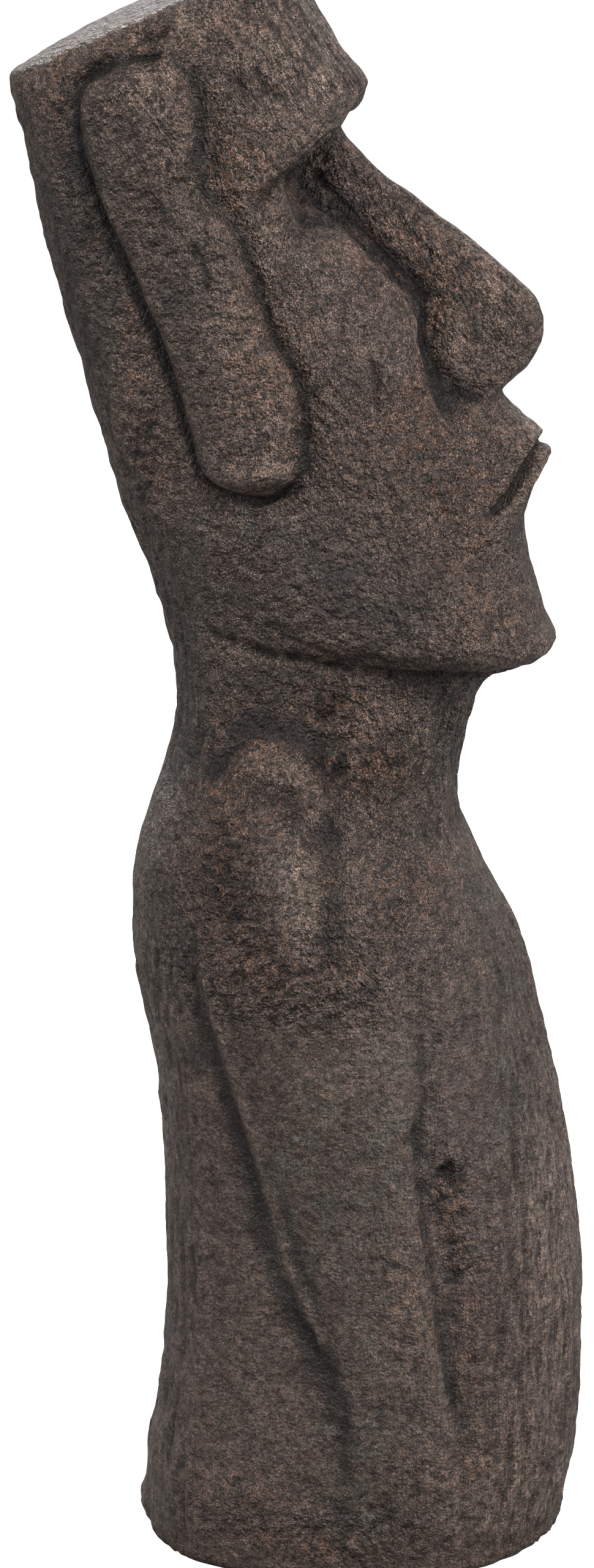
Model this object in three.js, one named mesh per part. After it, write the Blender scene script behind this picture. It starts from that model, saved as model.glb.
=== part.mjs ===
// A moai figure: a stone head with long ears on a short neck and an armed torso,
// carved in one piece and cut flat below.
// Millimetres. +Z is up, the face looks along -Y, and the origin is the middle of the underside.
//
// The body is a stack of closed sections. Each section starts on the front outline at its own
// height, its "level", and runs back to the back outline along a line that tilts with the head.
// Ears, nose, lips and arms are raised on these sections by functions of their named sizes.

import * as THREE from 'three';

// ---------------------------------------------------------------- driving dimensions

// The front outline in the middle plane: [level, how far forward it lies].
const FRONT_LINE = [
  [0, 135], [12, 137.5], [40, 142.5], [75, 145.5], [110, 146.2], [150, 144], // rim and belly
  [193, 139], [244, 128.5], [282, 119.5], [307, 112], [332, 97.5], [357, 85], // chest
  [369, 80.5], [382, 80.6], [405, 83.8], [425, 89], [437, 94], // throat
  [441, 98], [445, 112], [450, 124], [457, 129.3], [464, 127], [470, 123.3], // jaw and chin
  [482, 121.2], [495, 116.5], [507, 114.3], [519, 113], // front of the chin
  [531, 116.5], [544, 122.8], [551, 126], [556.5, 122.3], [562, 122.3], [566, 118], // lips
  [570, 112.5], [576, 105], [581, 100.5], [586, 104.5], [592, 114], // under the nose
  [604, 121.5], [613, 124.6], [620, 123.5], [629, 119], [641, 106.6], // tip of the nose
  [665, 76], [689, 44], [702, 29.5], [712, 21.8], [715, 21.2], // ridge and bridge
  [721, 28], [728, 33], [732, 34], [737, 31.8], [748, 23.4], [772, 7.2], [790, -5], [800, -12],
];

// The back outline: [height, how far forward it lies].
const BACK_LINE = [
  [0, -77.5], [25, -78], [45, -75.5], [75, -70], [140, -65.5], [200, -67.3], [252, -72.4],
  [303, -81.8], [330, -82.4], [354, -79], [392, -67.7], [430, -58.8], [455, -63],
  [492, -73.3], [529, -86.8], [602, -107.5], [675, -125.3], [711, -133], [730, -137.5], [800, -147],
];

// How far each section tilts up towards the front, in degrees.
const TILT = [[0, 0], [395, 0], [440, -8], [457, -8], [560, 3], [715, 18], [800, 26]];

// Half the width of the body without its arms and of the head without its ears.
const HALF_WIDTH = [
  [0, 116], [50, 114], [120, 108], [200, 107], [250, 109], [290, 112], [325, 113], [345, 111],
  [365, 104], [385, 91], [405, 76], [420, 69], [435, 67], [441, 68], [446, 71],
  [451, 75], [458, 77], [480, 78], [540, 77], [620, 77], [700, 79], [740, 80], [785, 79],
  [794, 77], [800, 72],
];

// The same behind, where the neck runs into the back of the head without a jaw.
const NAPE_HALF_WIDTH = [[400, 79], [420, 70], [440, 66], [470, 68], [520, 74], [580, 77]];

// Where a section is widest, as a share of its depth from the front.
const WIDEST = [[0, 0.5], [300, 0.5], [350, 0.46], [430, 0.5], [460, 0.52], [800, 0.52]];

// Roundness of the sections: 2 is an ellipse, and more is nearer to a box.
const FRONT_ROUNDNESS = [
  [0, 2], [60, 2.2], [200, 2.2], [340, 2.1], [430, 2.4], [460, 2.7], [700, 2.9], [800, 3.2],
];
const BACK_ROUNDNESS = [[0, 2.2], [60, 2.5], [200, 2.7], [340, 2.5], [430, 2.6], [480, 3], [800, 4]];

// How far the rows of the face droop at the sides, and at which share of the half width they end.
const DROOP = [[0, 0], [460, 0], [500, 10], [545, 29], [562, 28], [600, 22], [725, 21], [800, 4]];
const DROOP_REACH = [[0, 1], [480, 0.75], [550, 0.6], [600, 0.8], [700, 1], [800, 1]];
const DROOP_POWER = 1.5;

// Jaw and droop belong to the face: they end at this share of the way to the back.
const FACE_END = 0.8;

// The line of the cheeks, which the nose and the muzzle stand out of.
const CHEEK_LINE = [
  [457, 129.3], [480, 118], [520, 105], [560, 92], [583, 85], [600, 77], [612, 73], [632, 68],
  [641, 62], [661, 42], [676, 30], [695, 22], [715, 23], [722, 27], [728, 32], [732, 34],
];

// The nose and the muzzle under it, by half their widths.
const NOSE_HALF_WIDTH = [
  [0, 20], [560, 22], [580, 28], [600, 30], [620, 27], [650, 20], [700, 14], [800, 14],
];
const NOSE_PROFILE = [1, 0.93, 0.62, 0]; // share of its depth at the nose columns
const NOSE_CREASE = [[583, 0], [590, 4], [600, 6], [640, 4], [700, 2], [716, 0]];
const NOSE_FOOT = 582; // the level between nose and muzzle
const WING_FOOT = 591; // the same at the wings of the nose
const FOOT_BLEND = [-6, 2]; // levels around the foot where one passes into the other
const MUZZLE_HALF_WIDTH = 64;
const MUZZLE_POWER = 1.3; // more makes it more pointed
const MUZZLE_DEPTH = [[555, 30], [570, 20], [583, 11], [600, 4], [615, 0]]; // beside the nose
const MOUTH = { level: 556.5, tall: 3.2, halfWidth: 41, depth: 3.5 };
const MOUTH_MIDDLE = 0.25; // share of its half width where the line reaches its full depth
const MOUTH_CORNER = [0.9, 1.2]; // shares where it fades into the cheek

// The eye sockets sink under the brow, most beside the nose.
const SOCKET_DEPTH = [[655, 0], [672, 3], [685, 11], [696, 20], [709, 24], [717, 15], [725, 0]];
const SOCKET_REACH = [30, 82]; // from full depth beside the nose to none at the temple

// The raised bands on the sides: each ear, and each arm below it, lies between two contours
// given as [height, how far forward].
const BAND_FRONT = [
  [0, 92], [94, 88], [119, 86], [166, 80], [197, 74], [228, 70], [285, 68], [340, 48], [440, 28], // arm
  [500, -4], [537, -12], [541, -5], [546, 3], [554, 8], [588, 9], [615, -5], // lobe of the ear
  [662, -20], [692, -40], [726, -39], [743, -44], [752, -58], [800, -66],
];
const BAND_REAR = [
  [0, 34], [70, 34], [120, 23], [167, 8], [204, -7], [235, -16], [275, -31], [312, -43], // arm
  [345, -41], [440, -24], [500, -22], [537, -24], [541, -31], [546, -38], [555, -44], // lobe of the ear
  [579, -50], [614, -62], [649, -77], [699, -98], [732, -102], [743, -91], [751, -74], [800, -66],
];
const BAND_HEIGHT = [
  [0, 0], [30, 1], [70, 6], [120, 9], [230, 9], [290, 6], [345, 0], [538, 0], [543, 6],
  [549, 9], [640, 9], [700, 10], [735, 9], [745, 6], [754, 0],
];
const GROOVE_DEPTH = [
  [0, 0], [60, 1], [110, 3], [210, 3], [280, 1], [320, 0], [538, 0], [547, 2], [600, 3],
  [735, 3], [754, 0],
];
const BAND_EDGE = 6; // width of the slope from a groove up onto the band
const BAND_EDGE_SHARE = 0.7; // of the band's height that its edges reach

// Bumps on the sides, given by height and place, half length along each way, and rise.
const SHOULDER_BOSS = { z: 342, forward: 14, tall: 34, wide: 32, rise: 7 };
const NECK_RIDGE = { z: 407, forward: 0, tall: 10, wide: 22, rise: 3.5, slope: -0.38 };
const NECK_HOLLOW = { z: 387, forward: 14, tall: 13, wide: 24, rise: -3 };

// Rows of the mesh: [first level, last level, number of steps].
const ROW_SPANS = [
  [0, 12, 1], [12, 357, 17], [357, 437, 7], [437, 445, 2], [445, 457, 4], [457, 470, 2],
  [470, 519, 4], [519, 544, 3], [544, 551, 1], [551, 556.5, 1], [556.5, 562, 1], [562, 570, 2],
  [570, 581, 2], [581, 592, 2], [592, 613, 3], [613, 629, 2], [629, 702, 7], [702, 714, 2],
  [714, 732, 5], [732, 737, 1], [737, 765, 3], [765, 794, 5], [794, 800, 2],
];

// Columns of the mesh on one side, from the front middle to the back middle.
const NOSE_COLUMNS = [0, 0.42, 0.78, 1.02, 1.4]; // shares of the half width of the nose
const CHEEK_STEPS = 7;
const TEMPLE_STEPS = 3;
const BAND_STEPS = 4;
const FLANK_STEPS = 2;
const BACK_STEPS = 6;

// Shares of the half width where the front and the back turn into the side.
const FRONT_CORNER = [[0, 0.78], [400, 0.78], [460, 0.88], [800, 0.88]];
const BACK_CORNER = [[0, 0.78], [440, 0.8], [500, 0.86], [800, 0.86]];

const CROWN_RINGS = [0.86, 0.6, 0.3]; // rings on the top of the head, shares of its rim
const CROWN_RISE = 3;

const SETTLE_PASSES = 20; // steps to find where a tilted section meets a curve

// ---------------------------------------------------------------- curves through named sizes

// A smooth curve through [place, value] pairs that never swings past them.
function through(knots) {
  const slopes = knots.slice(1).map(([x, y], i) => (y - knots[i][1]) / (x - knots[i][0]));
  const tangents = knots.map((knot, i) => {
    if (i === 0 || i === knots.length - 1) return slopes[Math.min(i, slopes.length - 1)];
    const before = slopes[i - 1];
    const after = slopes[i];
    return before * after <= 0 ? 0 : (2 * before * after) / (before + after);
  });
  return (x) => {
    if (x <= knots[0][0]) return knots[0][1];
    if (x >= knots[knots.length - 1][0]) return knots[knots.length - 1][1];
    const i = knots.findIndex((knot) => knot[0] > x) - 1;
    const width = knots[i + 1][0] - knots[i][0];
    const t = (x - knots[i][0]) / width;
    const [from, to] = [knots[i][1], knots[i + 1][1]];
    const bend = t * (1 - t) * width;
    return from + (to - from) * t * t * (3 - 2 * t)
      + bend * ((1 - t) * tangents[i] - t * tangents[i + 1]);
  };
}

const frontLine = through(FRONT_LINE);
const backLine = through(BACK_LINE);
const tilt = through(TILT);
const halfWidth = through(HALF_WIDTH);
const napeHalfWidth = through(NAPE_HALF_WIDTH);
const widest = through(WIDEST);
const frontRoundness = through(FRONT_ROUNDNESS);
const backRoundness = through(BACK_ROUNDNESS);
const droop = through(DROOP);
const droopReach = through(DROOP_REACH);
const cheekLine = through(CHEEK_LINE);
const noseHalfWidth = through(NOSE_HALF_WIDTH);
const noseCrease = through(NOSE_CREASE);
const muzzleDepth = through(MUZZLE_DEPTH);
const socketDepth = through(SOCKET_DEPTH);
const frontCorner = through(FRONT_CORNER);
const backCorner = through(BACK_CORNER);
const bandFront = through(BAND_FRONT);
const bandRear = through(BAND_REAR);
const bandHeight = through(BAND_HEIGHT);
const grooveDepth = through(GROOVE_DEPTH);

const NOSE_EDGE = NOSE_PROFILE.length - 1;
const JAW_LEVEL = CHEEK_LINE[0][0];
const BROW_LEVEL = CHEEK_LINE[CHEEK_LINE.length - 1][0];
const NAPE = [NAPE_HALF_WIDTH[0][0], NAPE_HALF_WIDTH[NAPE_HALF_WIDTH.length - 1][0]];

const { smoothstep, lerp, degToRad } = THREE.MathUtils;

// The other coordinate of a superellipse with half axes of 1.
function superellipse(share, roundness) {
  return Math.max(0, 1 - Math.abs(share) ** roundness) ** (1 / roundness);
}

// ---------------------------------------------------------------- one section

// The straight line of a section in the middle plane, from the front outline to the back one.
function sectionLine(level) {
  const slope = Math.tan(degToRad(tilt(level)));
  const front = frontLine(level);
  let back = backLine(level);
  for (let i = 0; i < SETTLE_PASSES; i += 1) {
    back = backLine(level - (front - back) * slope);
  }
  return { level, slope, front, back };
}

// The height of a place on a section: its tilt, and the droop of the face towards its sides.
function heightOn(section, forward, widthShare) {
  const aside = smoothstep(widthShare / droopReach(section.level), 0, 1) ** DROOP_POWER;
  const ahead = 1 - smoothstep((section.centre - forward) / section.backReach, 0, FACE_END);
  const sag = droop(section.level) * aside * ahead;
  return section.level - (section.front - forward) * section.slope - sag;
}

// The place along a side where a section crosses a contour given by height.
function crossing(section, contour) {
  let forward = 0;
  for (let i = 0; i < SETTLE_PASSES; i += 1) {
    forward = contour(heightOn(section, forward, 1));
  }
  return forward;
}

// The section without nose, muzzle, ears and arms.
function bareSection(level) {
  const section = sectionLine(level);
  section.half = halfWidth(level);
  section.napeHalf = level > NAPE[0] && level < NAPE[1] ? napeHalfWidth(level) : section.half;
  section.bareFront = level < JAW_LEVEL || level > BROW_LEVEL ? section.front : cheekLine(level);
  section.centre = lerp(section.bareFront, section.back, widest(level));
  section.frontReach = section.bareFront - section.centre;
  section.backReach = section.centre - section.back;
  return section;
}

function atWidth(section, widthShare, ahead) {
  const roundness = ahead ? frontRoundness(section.level) : backRoundness(section.level);
  const reach = ahead ? section.frontReach : -section.backReach;
  return section.centre + reach * superellipse(widthShare, roundness);
}

function widthAt(section, forward) {
  const ahead = forward > section.centre;
  const roundness = ahead ? frontRoundness(section.level) : backRoundness(section.level);
  const reach = ahead ? section.frontReach : section.backReach;
  const behind = smoothstep((section.centre - forward) / reach, 0, FACE_END);
  const half = lerp(section.half, section.napeHalf, behind);
  return half * superellipse((forward - section.centre) / reach, roundness);
}

// ---------------------------------------------------------------- relief

const bell = (distance) => Math.exp(-distance * distance);

// How far the face stands out of the line of its cheeks: nose, muzzle, mouth and eye socket.
function faceRise(section, column, x) {
  const { level } = section;
  const rise = section.front - section.bareFront;
  const besideNose = Math.min(1, column / NOSE_EDGE) ** 2;
  const foot = lerp(NOSE_FOOT, WING_FOOT, besideNose);
  const isNose = smoothstep(level, foot + FOOT_BLEND[0], foot + FOOT_BLEND[1]);
  const muzzleShape = Math.max(0, 1 - (x / MUZZLE_HALF_WIDTH) ** 2) ** MUZZLE_POWER;
  const raised = column > NOSE_EDGE
    ? Math.min(rise, muzzleDepth(level)) * muzzleShape
    : lerp(rise * muzzleShape, rise * NOSE_PROFILE[column], isNose);
  const crease = column === NOSE_EDGE ? noseCrease(level) : 0;
  const socket = socketDepth(level) * besideNose * (1 - smoothstep(x, ...SOCKET_REACH));
  return raised - mouthSink(level, x) - crease - socket;
}

// The line between the lips; the front outline already holds its middle.
function mouthSink(level, x) {
  const share = x / MOUTH.halfWidth;
  const along = bell((level - MOUTH.level) / MOUTH.tall);
  const across = smoothstep(share, 0, MOUTH_MIDDLE) * (1 - smoothstep(share, ...MOUTH_CORNER));
  return MOUTH.depth * along * across;
}

// A soft bump on the side of the body.
function bumpRise(bump, forward, z) {
  const along = forward - bump.forward;
  const rise = z - bump.z - along * (bump.slope ?? 0);
  return bump.rise * bell(along / bump.wide) * bell(rise / bump.tall);
}

function sideRise(forward, z) {
  return [SHOULDER_BOSS, NECK_RIDGE, NECK_HOLLOW]
    .reduce((sum, bump) => sum + bumpRise(bump, forward, z), 0);
}

// ---------------------------------------------------------------- the columns of a section

// Points in front: across the nose, then over the cheek to the corner of the face.
function frontPoints(section) {
  const { level, half } = section;
  const nose = noseHalfWidth(level);
  const corner = frontCorner(level) * half;
  const noseEdge = nose * NOSE_COLUMNS[NOSE_COLUMNS.length - 1];
  const places = NOSE_COLUMNS.map((share) => share * nose);
  for (let i = 1; i <= CHEEK_STEPS; i += 1) {
    places.push(lerp(noseEdge, corner, i / CHEEK_STEPS));
  }
  return places.map((x, i) => {
    const forward = atWidth(section, x / half, true) + faceRise(section, i, x);
    return { x, forward };
  });
}

// Places along the side, from the corner of the face to the corner of the back: the temple, the
// front groove, the band of the ear or arm with its share across, the rear groove and the flank.
function sidePlaces(section) {
  const start = atWidth(section, frontCorner(section.level), true);
  const end = atWidth(section, backCorner(section.level), false);
  const front = crossing(section, bandFront);
  const rear = crossing(section, bandRear);
  const edge = Math.min(BAND_EDGE, (front - rear) / 4);
  const places = [];
  for (let i = 1; i < TEMPLE_STEPS; i += 1) {
    places.push({ forward: lerp(start, front, i / TEMPLE_STEPS) });
  }
  places.push({ forward: front, groove: true });
  for (let i = 0; i <= BAND_STEPS; i += 1) {
    places.push({ forward: lerp(front - edge, rear + edge, i / BAND_STEPS), band: i / BAND_STEPS });
  }
  places.push({ forward: rear, groove: true });
  for (let i = 1; i < FLANK_STEPS; i += 1) {
    places.push({ forward: lerp(rear, end, i / FLANK_STEPS) });
  }
  return places;
}

// The band is highest in its middle, and its edges drop to a groove on each side.
function bandRise({ groove, band }, z) {
  if (groove) return -grooveDepth(z);
  if (band === undefined) return 0;
  const dome = 4 * band * (1 - band);
  return bandHeight(z) * lerp(BAND_EDGE_SHARE, 1, dome);
}

function sidePoints(section) {
  return sidePlaces(section).map((place) => {
    const { forward } = place;
    const z = heightOn(section, forward, 1);
    return { x: widthAt(section, forward) + bandRise(place, z) + sideRise(forward, z), forward };
  });
}

// Points behind: from the back corner to the middle of the back.
function backPoints(section) {
  const points = [];
  for (let i = 0; i <= BACK_STEPS; i += 1) {
    const share = backCorner(section.level) * Math.cos((i / BACK_STEPS) * (Math.PI / 2));
    points.push({ x: share * section.napeHalf, forward: atWidth(section, share, false) });
  }
  return points;
}

// One closed row of vertices, from the front middle over the right side and back over the left.
function ring(level) {
  const section = bareSection(level);
  const oneSide = [...frontPoints(section), ...sidePoints(section), ...backPoints(section)]
    .map(({ x, forward }) => {
      const z = heightOn(section, forward, Math.min(1, x / section.half));
      return new THREE.Vector3(-Math.max(0, x), -forward, z);
    });
  oneSide[0].x = 0;
  oneSide[oneSide.length - 1].x = 0;
  const otherSide = oneSide.slice(1, -1).reverse().map((p) => new THREE.Vector3(-p.x, p.y, p.z));
  return [...oneSide, ...otherSide];
}

// ---------------------------------------------------------------- the closed body

function rowLevels() {
  const levels = [ROW_SPANS[0][0]];
  for (const [first, last, steps] of ROW_SPANS) {
    for (let i = 1; i <= steps; i += 1) {
      levels.push(lerp(first, last, i / steps));
    }
  }
  return levels;
}

// The middle of a row: halfway between its front and back points.
function middleOf(row) {
  return row[0].clone().lerp(row[row.length / 2], 0.5);
}

// The slightly domed top of the head, as rings that shrink towards its middle.
function crownRings(rim) {
  const middle = middleOf(rim);
  const backward = rim[rim.length / 2].clone().sub(rim[0]);
  const up = new THREE.Vector3(1, 0, 0).cross(backward).normalize();
  return CROWN_RINGS.map((share) => rim.map((point) => {
    const rise = CROWN_RISE * (1 - share * share);
    return middle.clone().lerp(point, share).addScaledVector(up, rise);
  }));
}

function bodyGeometry() {
  const rows = rowLevels().map(ring);
  const rim = rows[rows.length - 1];
  rows.push(...crownRings(rim));
  const size = rim.length;
  const underside = middleOf(rows[0]);
  const crown = middleOf(rows[rows.length - 1]);
  const points = [...rows.flat(), underside, crown];
  const triangles = [];
  for (let r = 0; r + 1 < rows.length; r += 1) {
    for (let c = 0; c < size; c += 1) {
      const a = r * size + c;
      const b = r * size + ((c + 1) % size);
      triangles.push(a, a + size, b, b, a + size, b + size);
    }
  }
  const top = (rows.length - 1) * size;
  for (let c = 0; c < size; c += 1) {
    const next = (c + 1) % size;
    triangles.push(points.length - 2, c, next);
    triangles.push(points.length - 1, top + next, top + c);
  }
  const geometry = new THREE.BufferGeometry().setFromPoints(points);
  geometry.setIndex(triangles);
  geometry.computeVertexNormals();
  geometry.computeBoundingBox();
  const middle = geometry.boundingBox.getCenter(new THREE.Vector3());
  return geometry.translate(0, -middle.y, 0);
}

function stone() {
  return new THREE.MeshStandardMaterial({ color: 0x524844, roughness: 0.6, metalness: 0 });
}

const group = new THREE.Group();
const statue = new THREE.Mesh(bodyGeometry(), stone());
statue.name = 'statue';
group.add(statue);

export default group;
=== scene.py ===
# %% [markdown]
# # A carved moai
#
# A moai is a figure of a head with long ears on a short body, cut from one block of dark stone.
# This one is a statuette 80 cm tall. The frame from CAD already has its form: the tilted head,
# the brow, the nose, the jaw, the ears and the arms. What it lacks is the skin of the stone:
# crisp grooves, tool and brush strokes, pits, chips, grit and a worn patina. That skin is made
# here on a copy of the form, so the shape stays that of the frame.

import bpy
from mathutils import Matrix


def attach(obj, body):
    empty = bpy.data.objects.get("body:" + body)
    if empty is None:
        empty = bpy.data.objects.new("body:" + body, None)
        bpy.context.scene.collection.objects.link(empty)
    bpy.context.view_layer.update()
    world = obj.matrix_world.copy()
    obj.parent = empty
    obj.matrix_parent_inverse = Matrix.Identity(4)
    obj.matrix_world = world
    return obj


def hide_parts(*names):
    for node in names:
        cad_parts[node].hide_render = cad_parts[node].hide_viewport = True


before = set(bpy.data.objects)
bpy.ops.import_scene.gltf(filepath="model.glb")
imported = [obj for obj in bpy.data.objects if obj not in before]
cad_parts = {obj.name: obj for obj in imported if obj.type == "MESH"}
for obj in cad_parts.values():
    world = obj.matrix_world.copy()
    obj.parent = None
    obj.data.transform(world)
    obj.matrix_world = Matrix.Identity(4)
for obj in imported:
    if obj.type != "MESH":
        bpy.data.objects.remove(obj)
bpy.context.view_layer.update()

# %% [markdown]
# ## Two helpers
#
# An operator of Blender acts on all that is selected, just as a click in a menu would. So one
# helper selects a single object, and one does what the wrench tab does: it adds a modifier, sets
# it up and applies it. All measures below are in millimetres, and MM turns them into metres.

# %% Helpers that the whole lesson uses
import math

import bmesh
import bpy
import numpy as np
from mathutils import Vector, noise

MM = 0.001
BOX_MIDDLE = 3.67  # how far forward the middle of the box lies from the line of the ears


def only(piece):
    """Selects one object and nothing else."""
    bpy.ops.object.select_all(action="DESELECT")
    piece.select_set(True)
    bpy.context.view_layer.objects.active = piece


def apply_modifier(piece, kind, **settings):
    """Adds a modifier, sets it up and applies it."""
    only(piece)
    bpy.ops.object.modifier_add(type=kind)
    modifier = piece.modifiers[-1]
    for name, value in settings.items():
        setattr(modifier, name, value)
    bpy.ops.object.modifier_apply(modifier=modifier.name)


# %% [markdown]
# ## The block
#
# The CAD mesh is a grid of rows and columns that follow the carving, cut into loose triangles.
# A copy of it is merged and turned back into quads, because a subdivision surface only runs
# smoothly over quads. The topology influence makes the operator prefer pairs that give a grid.

# %% Copy the form and turn it back into quads
TOUCHING = 0.01  # vertices closer than this are one, and a vertex lower than this is on the floor

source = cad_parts["statue"]
moai = source.copy()
moai.data = source.data.copy()
moai.name = moai.data.name = "carved_moai"
bpy.context.collection.objects.link(moai)
only(moai)
bpy.ops.object.mode_set(mode="EDIT")
bpy.ops.mesh.select_all(action="SELECT")
bpy.ops.mesh.remove_doubles(threshold=TOUCHING * MM)
bpy.ops.mesh.tris_convert_to_quads(
    face_threshold=math.pi, shape_threshold=math.pi, topology_influence=2)
bpy.ops.mesh.normals_make_consistent(inside=False)
bpy.ops.object.mode_set(mode="OBJECT")
faces = moai.data.polygons
print("quads:", sum(len(face.vertices) == 4 for face in faces), "of", len(faces))

# %% [markdown]
# ## A finer grid
#
# The rows of the body are twice as far apart as its columns. A bisect cuts every face that it
# passes through and moves nothing, so one bisect between each two rows makes the cells square.

# %% Bisect the body between its rows
ROWS_START, ROWS_END, ROWS = 12, 357, 17  # the rows of the body
row_step = (ROWS_END - ROWS_START) / ROWS

only(moai)
bpy.ops.object.mode_set(mode="EDIT")
for row in range(ROWS):
    bpy.ops.mesh.select_all(action="SELECT")
    bpy.ops.mesh.bisect(
        plane_co=(0, 0, (ROWS_START + (row + 0.5) * row_step) * MM), plane_no=(0, 0, 1))
bpy.ops.object.mode_set(mode="OBJECT")
print("faces after the bisects:", len(moai.data.polygons))

# %% [markdown]
# ## Edges that stay sharp
#
# A subdivision surface rounds everything it touches. A crease tells it how much of an edge to
# keep: nearly all of the rim of the foot, so that the block stands flat, much of the brow and the
# jaw, and only a little of the crown. The rim's edges lie between a level face and a steep one.

# %% Crease the rim of the foot
FOOT_CREASE = 0.9
LEVEL = 0.9  # a face is level when its normal points up or down by more than this


def crease(chosen, amount):
    """Creases edges of the figure, given by their numbers."""
    only(moai)
    bpy.ops.object.mode_set(mode="EDIT")
    bpy.ops.mesh.select_mode(type="EDGE")
    bpy.ops.mesh.select_all(action="DESELECT")
    bpy.ops.object.mode_set(mode="OBJECT")
    for index in chosen:
        moai.data.edges[index].select = True
    bpy.ops.object.mode_set(mode="EDIT")
    bpy.ops.transform.edge_crease(value=amount)
    bpy.ops.object.mode_set(mode="OBJECT")


on_floor = [vertex.co.z < TOUCHING * MM for vertex in moai.data.vertices]
levels = {}
for face in moai.data.polygons:
    for key in face.edge_keys:
        levels.setdefault(key, []).append(abs(face.normal.z) > LEVEL)
rim = [edge.index for edge in moai.data.edges
       if on_floor[edge.vertices[0]] and on_floor[edge.vertices[1]]
       and any(levels[edge.key]) and not all(levels[edge.key])]
crease(rim, FOOT_CREASE)
print("rim:", len(rim), "edges")

# %% Crease the sharp rows
SHARP_ROWS = [  # name, forward and height of its place on the front outline, crease
    ("brow", 34, 732, 0.7), ("jaw", 129.3, 457, 0.6), ("crown", -12, 800, 0.15)]


def row_of_edges(row_forward, row_height):
    """The edges that run round the figure from one place on the front outline."""
    place = Vector((0, (BOX_MIDDLE - row_forward) * MM, row_height * MM))
    grid = bmesh.new()
    grid.from_mesh(moai.data)
    start = min(grid.verts, key=lambda v: (v.co - place).length)
    edge = max(start.link_edges,
               key=lambda e: abs((e.other_vert(start).co - start.co).normalized().x))
    row, corner = [], start
    while edge.index not in row:
        row.append(edge.index)
        corner = edge.other_vert(corner)
        onward = [e for e in corner.link_edges if not set(e.link_faces) & set(edge.link_faces)]
        if len(corner.link_edges) != 4 or len(onward) != 1:
            break
        edge = onward[0]
    grid.free()
    return row


for name, row_forward, row_height, amount in SHARP_ROWS:
    row = row_of_edges(row_forward, row_height)
    crease(row, amount)
    print(name, "row:", len(row), "edges")

# %% [markdown]
# ## Subdivide, and take the place of the form
#
# Two rounds of subdivision give the carving a vertex every two millimetres or so, which stays
# under 200,000 triangles. The finer figure then stands in for the plain one and moves with the
# root body.

# %% Subdivide
apply_modifier(moai, "SUBSURF", levels=2, render_levels=2)
print("triangles:", sum(len(face.vertices) - 2 for face in moai.data.polygons))
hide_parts("statue")
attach(moai, "root")

# %% [markdown]
# ## Reading the surface
#
# Everything below is placed by three measures in millimetres: how far across a point lies from
# the middle plane, how far forward, and how high. Carving needs a weight for each vertex, from
# 0 to 1. In the paint brush's mode one would paint such weights by hand. Here each weight is
# worked out from a line, a spot or a noise, written to a vertex group, and a Displace modifier
# then sinks the surface along its normals by that weight.

# %% Places of the vertices and the carve tool
LEAST_WEIGHT = 0.004  # a vertex with less than this is left alone


def read_vertices(piece):
    """The place of every vertex in millimetres, one row for each."""
    places = np.empty(len(piece.data.vertices) * 3)
    piece.data.vertices.foreach_get("co", places)
    return places.reshape(-1, 3) / MM


def read_places(piece):
    """Across, forward and height of every vertex in millimetres."""
    places = read_vertices(piece)
    return places[:, 0], BOX_MIDDLE - places[:, 1], places[:, 2]


across, forward, height = read_places(moai)
side = np.abs(across)


def step(value, start, end):
    """Rises softly from 0 at start to 1 at end."""
    share = np.clip((value - start) / (end - start), 0, 1)
    return share * share * (3 - 2 * share)


def within(value, low, high, blend):
    """1 between low and high, fading over blend outside."""
    return step(value, low - blend, low) * (1 - step(value, high, high + blend))


def carve(name, weight, depth):
    """Sinks the surface by depth millimetres where weight is 1. A negative depth raises it."""
    chosen = np.flatnonzero(weight > LEAST_WEIGHT)
    group = moai.vertex_groups.new(name=name)
    for index in chosen:
        group.add([int(index)], float(weight[index]), "REPLACE")
    apply_modifier(
        moai, "DISPLACE", vertex_group=name, strength=-depth * MM, mid_level=0, direction="NORMAL")
    moai.vertex_groups.remove(moai.vertex_groups[name])
    print(f"{name}: {len(chosen)} vertices, {depth} mm")


# %% [markdown]
# ## Uneven clay
#
# The real figure is a cast of a hand-worked surface, so no plane of it is true. Three Displace
# modifiers with the Clouds texture give swellings as wide as a palm, lumps as wide as a thumb
# and dents as wide as a finger tip.

# %% Swellings, lumps and dents
UNEVENNESS = [("swellings", 45, 1.6), ("lumps", 16, 1.0), ("dents", 7, 1.0)]  # name, width, height

for name, width, rise in UNEVENNESS:
    clouds = bpy.data.textures.new(name, "CLOUDS")
    clouds.noise_scale = width * MM
    clouds.noise_depth = 1
    apply_modifier(moai, "DISPLACE", texture=clouds, strength=rise * MM, mid_level=0.5,
                   texture_coords="LOCAL", direction="NORMAL")
    print(name, width, "mm wide,", rise, "mm high")

# %% [markdown]
# ## Carved lines
#
# The form already has its grooves, but the subdivision made them soft. Each is cut again as a
# narrow line: a few points as seen from the side or the front, joined by a soft curve. The
# weight of a vertex falls with its distance from the curve.

# %% Curves on the surface
LINE_FALL = 1.6  # at its width the weight of a line is exp(-LINE_FALL ** 2), which is nearly 0
FRACTAL = (1.0, 2.0, 3)  # fall in strength and step in width between octaves, and their number


def soft_curve(points, steps=8):
    """A smooth curve through points, by Catmull and Rom."""
    points = np.array(points, dtype=float)
    padded = np.vstack([2 * points[0] - points[1], points, 2 * points[-1] - points[-2]])
    curve = []
    for before, start, end, after in zip(padded, padded[1:], padded[2:], padded[3:]):
        for t in np.arange(steps) / steps:
            curve.append(0.5 * (2 * start + (end - before) * t
                                + (2 * before - 5 * start + 4 * end - after) * t ** 2
                                + (3 * start - before - 3 * end + after) * t ** 3))
    return np.array([*curve, points[-1]])


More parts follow.
